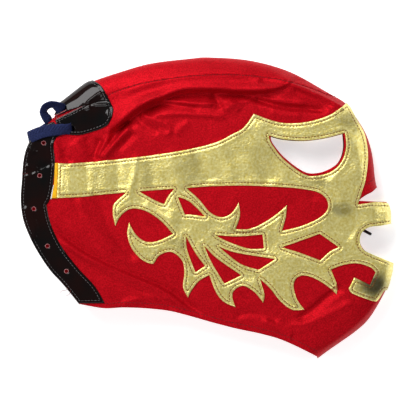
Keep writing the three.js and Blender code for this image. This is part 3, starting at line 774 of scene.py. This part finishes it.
def ribbon(points, across, width, thickness, step):
    """(vertices, faces, centre line) of a flat woven ribbon along the points."""
    line = spline(points, step)
    controls = np.array(points)
    places = np.array([np.linalg.norm(line - c, axis=1).argmin() for c in controls])
    places[0], places[-1] = 0, len(line) - 1
    order = np.arange(len(line))
    wide = np.column_stack([np.interp(order, places, np.array(across)[:, k]) for k in range(3)])
    along = np.gradient(line, axis=0)
    along /= np.linalg.norm(along, axis=1)[:, None]
    wide -= (wide * along).sum(1)[:, None] * along
    wide /= np.linalg.norm(wide, axis=1)[:, None]
    up = np.cross(along, wide)
    share = np.linspace(-1, 1, RIBBON_COLUMNS)
    travelled = np.concatenate([[0], np.cumsum(np.linalg.norm(np.diff(line, axis=0), axis=1))])
    verts = []
    for face in (1, -1):
        for s in share:
            rib = RIB_HEIGHT * np.sin(2 * math.pi * (travelled + face * RIB_SLANT * abs(s)) / RIB_PITCH)
            thick = thickness / 2 * (1 - 0.55 * abs(s) ** 6) + rib * (abs(s) < 0.95)
            verts.append(line + wide * (s * width / 2) + up * (face * thick)[:, None])
    rows, cols = len(line), 2 * RIBBON_COLUMNS
    order = [*range(RIBBON_COLUMNS), *range(cols - 1, RIBBON_COLUMNS - 1, -1)]
    verts = np.array(verts)[order].transpose(1, 0, 2).reshape(-1, 3)
    faces = []
    for i in range(rows - 1):
        for j in range(cols):
            a, b = i * cols + j, i * cols + (j + 1) % cols
            faces.append((a, b, b + cols))
            faces.append((a, b + cols, a + cols))
    for end, turn in ((0, 1), ((rows - 1) * cols, -1)):
        for j in range(RIBBON_COLUMNS - 1):
            a, b = end + j, end + j + 1
            c, d = end + cols - 1 - j, end + cols - 2 - j
            faces.extend([(a, c, b)[::turn], (b, c, d)[::turn]])
    return verts, np.array(faces), line


hank, hank_across = hank_path()
lace_points = [np.array(p, float) for p, _ in LACE_ROUTE][::-1] + hank
lace_across = [np.array(w, float) for _, w in LACE_ROUTE][::-1] + hank_across
for i in range(1, len(lace_across)):
    if np.dot(lace_across[i], lace_across[i - 1]) < 0:
        lace_across[i] = -lace_across[i]
lace_verts, lace_faces, lace_line = ribbon(lace_points, lace_across, LACE_WIDTH, LACE_THICKNESS, 0.5)
lace = mesh_object("lace", [(lace_verts, lace_faces)], lace_cloth)


def tube(points, radius, sides=10):
    """(vertices, faces) of a closed tube; radius may vary along it."""
    line = np.array(points, float)
    radius = np.broadcast_to(radius, len(line))
    along = np.gradient(line, axis=0)
    along /= np.linalg.norm(along, axis=1)[:, None]
    side = np.cross(along, (0, 0, 1.0))
    side /= np.maximum(np.linalg.norm(side, axis=1), 1e-9)[:, None]
    other = np.cross(side, along)
    turn = np.arange(sides) / sides * 2 * math.pi
    way = np.cos(turn)[:, None] * side[:, None] + np.sin(turn)[:, None] * other[:, None]
    verts = (line[:, None] + radius[:, None, None] * way).reshape(-1, 3)
    faces = []
    for i in range(len(line) - 1):
        for j in range(sides):
            a, b = i * sides + j, i * sides + (j + 1) % sides
            faces.extend([(a, b, a + sides), (b, b + sides, a + sides)])
    last = (len(line) - 1) * sides
    for j in range(1, sides - 1):
        faces.extend([(0, j + 1, j), (last, last + j, last + j + 1)])
    return verts, np.array(faces)


def aglet(name, node, start, end):
    """A crimped black tip on the lace's end, in place of the plain cylinder."""
    share = np.linspace(0, 1, 24)
    points = np.array(start) + share[:, None] * (np.array(end) - start)
    radius = AGLET_RADIUS - 0.12 * np.cos(share * 2 * math.pi * CRIMPS) ** 8
    radius[0] = radius[-1] = 0.9
    obj = mesh_object(name, [tube(points, radius)], aglet_black)
    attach(obj, "hood")
    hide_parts(node)
    return obj


front_tip = aglet("front_aglet_tip", "front_aglet", lace_points[0] + [0.2, -0.2, 0], (131.3, -22.1, 5.3))
last_step = lace_line[-1] - lace_line[-2]
last_step *= AGLET_LENGTH / np.linalg.norm(last_step)
rear_tip = aglet("rear_aglet_tip", "rear_aglet", lace_line[-1], lace_line[-1] + last_step)
turn = np.linspace(0, 2 * math.pi, 25)
tie_line = np.column_stack([
    np.full(len(turn), (lace_line[-1][0] + hank[0][0]) / 2),
    TIE_MIDDLE[0] + TIE_REACH[0] * np.cos(turn),
    TIE_MIDDLE[1] + TIE_REACH[1] * np.sin(turn),
])
hank_tie = mesh_object("hank_tie", [tube(tie_line, TIE_RADIUS)], lace_cloth)
for obj in (hank_tie, lace):
    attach(obj, "hood")
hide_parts("lace_run", "lace_hank")

# ---- regions

hem = spline(HEM, 1.2)
back_edge = spline(BACK_EDGE, 1.2)
cloth = np.vstack([
    hem, back_edge[1:], (-131, 64.7), (-126, 68.2), (-123.2, 72.5), (-122.4, 75), (-119.8, 80.2),
    (-123, 84), (-128, 100), (-100, 130), (180, 130), (180, -150), (92, -150),
])
slit = spline(SLIT, 1.2)
seam = spline(CROWN_SEAM, 1.2)
front = np.vstack([(-180, 54), (-141.5, 54), slit, seam, (180, 110), (180, -150), (-180, -150)])
slit_gape = straight(SLIT_GAPE)
slit_lip = straight(SLIT_LIP)
eye, nose, mouth = outline(EYE_HOLE), outline(NOSE_NOTCH), outline(MOUTH_NOTCH)
eyelets = [ring(place, EYELET_RADIUS) for place in EYELETS]
lace_holes = [ring(place, LACE_HOLE_RADIUS) for place in (NEAR_LACE_HOLE, FAR_LACE_HOLE)]
strap_tip = straight(STRAP_TIP)
openings = [eye, nose, mouth, *eyelets]
vinyl_rim = grown(rim, VINYL[1] - PANEL[1])
lining_rim = grown(rim, LINING[1] - PANEL[1])


def region(within, without=()):
    """A test for being inside all of the first outlines and none of the others."""

    def test(points):
        ok = np.ones(len(points), bool)
        for line in within:
            ok[ok] = inside(line, points[ok])
        for line in without:
            ok[ok] = ~inside(line, points[ok])
        return ok

    return test


def either(first, second):
    return lambda points: first(points) | second(points)


# ---- panels and linings

seam_tree = tree_of(seam)


def seam_groove(points):
    """The satin sinks where the crown seam is sewn."""
    return -SEAM_DEPTH * np.exp(-(away_from(seam_tree, points) ** 2))


def two_sided(name, layer, step, material, silhouette, relief):
    """The right and the left half of one cloth layer."""
    lines = [cloth, front, strap_tip, *openings]
    right = region([silhouette, cloth, front], [*openings, strap_tip, *lace_holes])
    behind = openings
    if layer is LINING:
        # The lining shows in the slit, and it backs the far side's eyelets.
        lines.append(slit_lip)
        right = either(right, region([silhouette, cloth, slit_lip], lace_holes))
        behind = [eye, nose, mouth]
    left_top = either(
        region([silhouette, cloth], [front, slit_gape, *lace_holes]),
        region([silhouette, cloth, strap_tip], [nose, mouth]),
    )
    left_low = region([silhouette, cloth], behind)
    right_part = skin(right, [*lines, *lace_holes], layer, True, step, relief, silhouette)
    left_parts = [
        skin(left_top, [*lines, slit_gape, *lace_holes], layer, True, step, relief, silhouette),
        skin(left_low, [cloth, *behind], layer, False, step, None, silhouette),
    ]
    sides = (("right", [right_part]), ("left", left_parts))
    return [mesh_object(f"{side}_{name}", parts, material) for side, parts in sides]


def bend(obj):
    """Bakes obj's transform into its mesh; obj is not bent or attached to a flap."""
    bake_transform(obj)


for node, slot, *make in (
    ("panel", "red_satin", "satin", PANEL, 1.4, satin, rim, seam_groove),
    ("lining", "red_lining", "lining_cloth", LINING, 3.0, knit, lining_rim, None),
):
    for side, obj in zip(("right", "left"), two_sided(*make)):
        bend(obj)
        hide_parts(f"{side}_side_{node}", f"{side}_back_{node}")

# ---- vinyl pieces


def vinyl(region, lines, upper, step, relief=None):
    """A piece of vinyl over one side of the hood, as (vertices, faces)."""
    return skin(region, lines, VINYL, upper, step, relief, vinyl_rim)


class Trim:
    """A piece of vinyl sewn on the satin, with its edges rolled and its stitch line sunk."""

    def __init__(self, free_edges, inset, groove, creases=(), roll=0.45):
        self.tree = tree_of(np.vstack(free_edges))
        self.inset, self.groove, self.creases, self.roll = inset, groove, creases, roll

    def relief(self, points):
        away = away_from(self.tree, points)
        rolled = -self.roll * np.clip(1 - away / 0.9, 0, 1) ** 2
        sunk = -self.groove * np.exp(-(((away - self.inset) / 0.6) ** 2))
        swell = 0.12 * np.exp(-(((away - self.inset - 1.8) / 1.2) ** 2))
        return rolled + sunk + swell + folds(points, self.creases, 0.15)


def dashes(row, pitch, length):
    """Start and end points of the stitches along an open line."""
    at = np.concatenate([[0], np.cumsum(np.linalg.norm(np.diff(row, axis=0), axis=1))])
    starts = np.arange(0.3, at[-1] - length, pitch)
    ends = [[[np.interp(s + d, at, row[:, k]) for k in range(2)] for d in (0, length)] for s in starts]
    return np.array(ends).reshape(-1, 2, 2)


def stitch_rows(line, inset, stitch, keep, tree=None):
    """Stitches that run inside a closed clockwise outline, or outside it where inset is negative."""
    tree = tree or tree_of(line)
    moved = grown(line, -inset)
    far = away_from(tree, moved)
    moved = moved[(far > abs(inset) * 0.93) & keep(moved)]
    if np.linalg.norm(moved[0] - moved[-1]) < 4:
        moved = np.vstack([moved, moved[:1]])
    gaps = np.flatnonzero(np.linalg.norm(np.diff(moved, axis=0), axis=1) > 4) + 1
    return np.vstack([dashes(row, *stitch) for row in np.split(moved, gaps) if len(row) > 1])


def stitches(name, pairs, height, radius, material):
    """Short threads lying on a surface, all in one object."""
    z = height(pairs.reshape(-1, 2)).reshape(-1, 2)
    middle = height(pairs.mean(1))
    parts = []
    for (a, b), (za, zb), zm in zip(pairs, z, middle):
        line = [
            (*a, za - radius * 0.7), (*(a * 0.85 + b * 0.15), za * 0.85 + zb * 0.15 + radius * 0.3),
            (*((a + b) / 2), zm + radius * 0.55),
            (*(b * 0.85 + a * 0.15), zb * 0.85 + za * 0.15 + radius * 0.3), (*b, zb - radius * 0.7),
        ]
        parts.append(tube(line, [radius * 0.5, radius, radius, radius, radius * 0.5], 6))
    obj = mesh_object(name, parts, material)
    return obj


def threads(name, lines, radius, material):
    """Round threads along lines, all in one object."""
    obj = mesh_object(name, [tube(line, radius, 8) for line in lines], material)
    return obj


def top_of(layer, upper, relief=None):
    """The outer height of one layer as a function of the plan position."""

    def height(points):
        depth = rim_edge.distance(points)
        creased = crumple(points, upper, depth)
        extra = 0 if relief is None else relief(points)
        return surface(points, layer[1], upper, creased + extra, depth)

    return height


applique = outline(APPLIQUE, 0.8)
applique_eye = outline(APPLIQUE_EYE, 0.8)
windows = [outline(w, 0.8) for w in APPLIQUE_WINDOWS]
gold_trim = Trim([applique, applique_eye, *windows], GOLD_INSET, 0.3)
gold_lines = [applique, applique_eye, *windows, strap_tip]
gold_region = region([applique, vinyl_rim], [applique_eye, *windows, strap_tip])
gold_low_region = region([applique, vinyl_rim], [applique_eye, *windows])
gold_tip_region = region([applique, vinyl_rim, strap_tip])
# The strap's tip is the left half's, which comes round from below.
gold_sides = {
    "right": [vinyl(gold_region, gold_lines, True, 1.0, gold_trim.relief)],
    "left": [
        vinyl(gold_tip_region, gold_lines, True, 1.0, gold_trim.relief),
        vinyl(gold_low_region, gold_lines[:-1], False, 1.4),
    ],
}
for side, parts in gold_sides.items():
    obj = mesh_object(f"{side}_gold", parts, gold)
    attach(obj, "hood")
    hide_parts(f"{side}_gold_applique")

# Past this box's left side the gold runs on round the rim, with no row of stitches.
on_gold = region([vinyl_rim], [straight([(160, 8), (146, 8), (146, -80), (160, -80)])])
gold_pairs = np.vstack([
    stitch_rows(applique, GOLD_INSET, GOLD_STITCH, on_gold, gold_trim.tree),
    *[
        stitch_rows(hole, -GOLD_INSET, GOLD_STITCH, gold_region, gold_trim.tree)
        for hole in (applique_eye, *windows)
    ],
])
sunk = top_of(VINYL, True, lambda p: np.full(len(p), -0.22))
for side, height, radius in (("right", sunk, 0.33), ("left", top_of(VINYL, False), 0.2)):
    rows = stitches(f"{side}_gold_stitches", gold_pairs, height, radius, gold_thread)
    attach(rows, "hood")

# The crown seam and the hem, sewn in red.
hem_row = dashes(grown(hem, -HEM_INSET)[3:-3], *RED_STITCH)
right_rows = np.vstack([dashes(seam, *RED_STITCH), hem_row, dashes(spline(NOSE_HEM, 1.0), *NOSE_STITCH)])
satin_top = top_of(PANEL, True, seam_groove)
for side, rows, height in (("right", right_rows, satin_top), ("left", hem_row, top_of(PANEL, False))):
    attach(stitches(f"{side}_seam_stitches", rows, height, 0.2, red_thread), "hood")

facing = outline(FACING)
facing_trim = Trim([facing, back_edge], PATENT_INSET, 0.25, FACING_CREASES, 0.35)
for side, upper, within, relief in (
    ("right", True, [facing, cloth, front, vinyl_rim], facing_trim.relief),
    ("left", False, [facing, cloth, vinyl_rim], None),
):
    part = vinyl(region(within, eyelets), [facing, cloth, front, *eyelets], upper, 1.0, relief)
    obj = mesh_object(f"{side}_facing", [part], patent)
    bend(obj)
    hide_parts(f"{side}_upper_eyelet_facing", f"{side}_lower_eyelet_facing")

facing_pairs = np.vstack([
    stitch_rows(facing, PATENT_INSET, PATENT_STITCH, region([facing, cloth, front, rim])),
    dashes(grown(back_edge, -PATENT_INSET)[2:-2], *PATENT_STITCH),
])
for side, upper in (("right", True), ("left", False)):
    skin_top = top_of(VINYL, upper)
    grey = stitches(f"{side}_facing_stitches", facing_pairs, skin_top, 0.21, grey_thread)
    bend(grey)
    rims = []
    for place in EYELETS:
        around = ring(place, EYELET_RADIUS - 0.1, 20)
        around = np.vstack([around, around[:1]])
        rims.append(np.column_stack([around, skin_top(around)]))
    bend(threads(f"{side}_eyelet_rims", rims, 0.22, cut_cloth))

loose = []
for path in LOOSE_THREADS:
    path = spline(path, 0.6)
    path[:, 2] += top_of(VINYL, True)(path[:1, :2])
    loose.append(path)
bend(threads("loose_threads", loose, 0.14, red_thread))

patch = outline(PATCH)
patch_low = straight(PATCH_UNDERSIDE)
patch_trim = Trim([patch], PATENT_INSET, 0.25, PATCH_CREASES, 0.35)
patch_region = region([patch, cloth, vinyl_rim], [slit_gape, *lace_holes])
slit_patch = mesh_object("slit_patch", [
    vinyl(patch_region, [patch, cloth, slit_gape, *lace_holes], True, 0.9, patch_trim.relief),
    vinyl(region([patch_low, cloth, vinyl_rim]), [patch_low, cloth], False, 1.4),
], patent)
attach(slit_patch, "hood")
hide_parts("slit_end_patch")

patch_pairs = np.vstack([
    stitch_rows(patch[::-1], PATENT_INSET, PATENT_STITCH, patch_region),
    dashes(slit[2:] + [0.9, -1.8], *PATENT_STITCH),
])
patch_top = top_of(VINYL, True, patch_trim.relief)
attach(stitches("patch_stitches", patch_pairs, patch_top, 0.26, grey_thread), "hood")
lips = []
for offset in (0.1, -3.2):
    lip = slit[slit[:, 0] > -121.5][:-2] + np.array([0.42, -0.9]) * offset
    lips.append(np.column_stack([lip, top_of(VINYL, True)(lip) - 0.5]))
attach(threads("slit_cut_edges", lips, 0.4, cut_cloth), "hood")

band_end = straight(BAND_END)
for side, upper in (("right", True), ("left", False)):
    part = vinyl(region([band_end, vinyl_rim]), [band_end], upper, 0.8)
    strip = mesh_object(f"{side}_yellow_strip", [part], yellow)
    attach(strip, "hood")
    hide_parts(f"{side}_band_end_strip")
sliver_line = straight(BACKING, 0.6)
sliver = mesh_object("band_backing", [vinyl(region([sliver_line]), [sliver_line], True, 0.6)], backing)
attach(sliver, "hood")

# ---- light and floor

bpy.context.scene.view_settings.view_transform = "Standard"


def lamp(name, direction, size, power):
    """A soft box that points at the mask."""
    data = bpy.data.lights.new(name, "AREA")
    data.shape = "RECTANGLE"
    data.size, data.size_y = size
    data.energy = power
    obj = bpy.data.objects.new(name, data)
    way = Vector(direction).normalized()
    obj.location = way * LAMP_DISTANCE
    obj.rotation_mode = "QUATERNION"
    obj.rotation_quaternion = way.to_track_quat("Z", "Y")
    obj.visible_camera = False
    bpy.context.scene.collection.objects.link(obj)


lamp("key", (-0.45, 0.75, 0.85), (0.65, 0.65), 11)
lamp("front", (0.95, 0.3, 0.6), (0.3, 0.8), 2.2)
lamp("low", (0.0, -0.8, 0.8), (0.9, 0.4), 3.2)
lamp("back", (-1.0, -0.15, 0.7), (0.3, 0.8), 2)
world = bpy.data.worlds.new("world")
world.use_nodes = True
background = world.node_tree.nodes["Background"]
background.inputs["Color"].default_value = (1, 1, 1, 1)
background.inputs["Strength"].default_value = 0.13
bpy.context.scene.world = world

floor_mesh = bpy.data.meshes.new("table")
corners = [(x * TABLE_REACH, y * TABLE_REACH, TABLE_LEVEL) for x, y in ((-1, -1), (1, -1), (1, 1), (-1, 1))]
floor_mesh.from_pydata(corners, [], [(0, 1, 2, 3)])
table = bpy.data.objects.new("table", floor_mesh)
floor_mesh.materials.append(floor_white)
bpy.context.scene.collection.objects.link(table)
